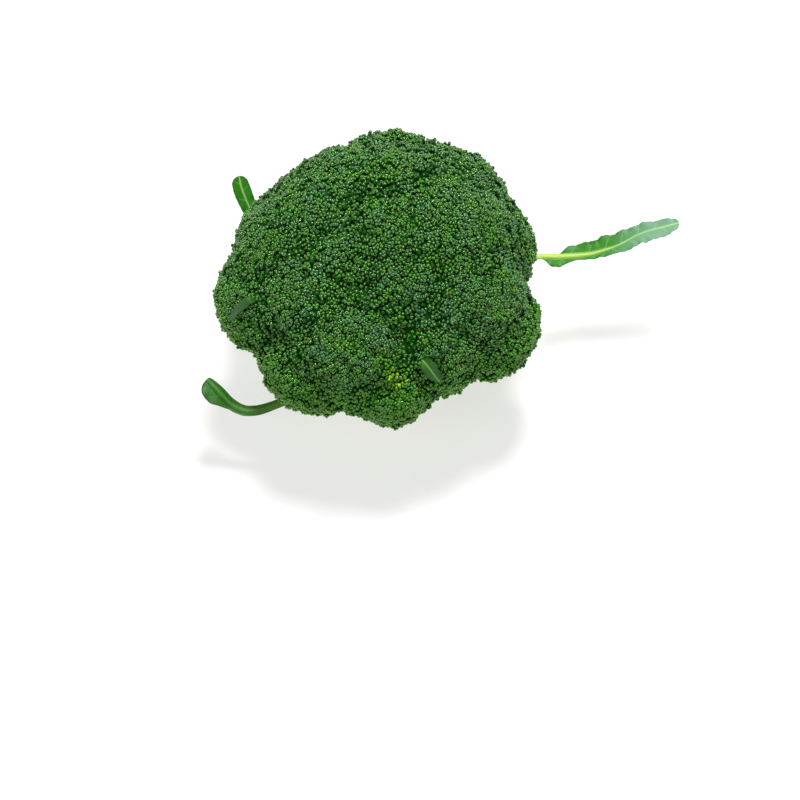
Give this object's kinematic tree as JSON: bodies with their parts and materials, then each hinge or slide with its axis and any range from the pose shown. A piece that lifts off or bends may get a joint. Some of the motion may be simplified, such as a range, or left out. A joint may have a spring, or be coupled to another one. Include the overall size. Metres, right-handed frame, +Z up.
{
  "type": "broccoli head",
  "caption": "Head of broccoli on a short cut stalk: branching pale stems carry domed heads of tight green flower buds, with small leaves between them.",
  "frame": {"origin": "middle of the stalk's cut face, on which the head stands", "axes": "+Z up along the stalk, -Y towards the front with the low florets, +X towards the long leaf"},
  "size_m": [0.2333, 0.148, 0.1284],
  "materials": {
    "stalk": "moist cut plant tissue, pale yellow-green",
    "stem": "smooth waxy stem skin",
    "buds": "small closed flower buds with a waxy bloom",
    "leaf": "thin leaf with a satin surface"
  },
  "bodies": {
    "root": {"back_buds": "buds", "back_left_buds": "buds", "back_left_leaf": "leaf", "back_left_stem": "stem", "back_left_top_buds": "buds", "back_left_top_stem": "stem", "back_right_buds": "buds", "back_right_leaf": "leaf", "back_right_stem": "stem", "back_stem": "stem", "back_top_buds": "buds", "back_top_stem": "stem", "front_left_buds": "buds", "front_left_leaf": "leaf", "front_left_stem": "stem", "left_buds": "buds", "left_front_buds": "buds", "left_front_stem": "stem", "left_stem": "stem", "left_top_buds": "buds", "left_top_stem": "stem", "main_stalk": "stalk", "middle_buds": "buds", "middle_front_buds": "buds", "middle_front_stem": "stem", "middle_left_buds": "buds", "middle_left_stem": "stem", "middle_stem": "stem", "right_buds": "buds", "right_leaf": "leaf", "right_stem": "stem", "right_top_buds": "buds", "right_top_stem": "stem", "rim_back_buds": "buds", "rim_back_left_buds": "buds", "rim_back_left_stem": "stem", "rim_back_right_buds": "buds", "rim_back_right_stem": "stem", "rim_back_stem": "stem", "rim_front_buds": "buds", "rim_front_left_buds": "buds", "rim_front_left_stem": "stem", "rim_front_right_buds": "buds", "rim_front_right_stem": "stem", "rim_front_stem": "stem", "rim_left_buds": "buds", "rim_left_stem": "stem", "rim_right_buds": "buds", "rim_right_front_buds": "buds", "rim_right_front_stem": "stem", "rim_right_stem": "stem", "tucked_front_leaf": "leaf", "tucked_left_leaf": "leaf", "underside_leaf": "leaf"}
  },
  "joints": []
}
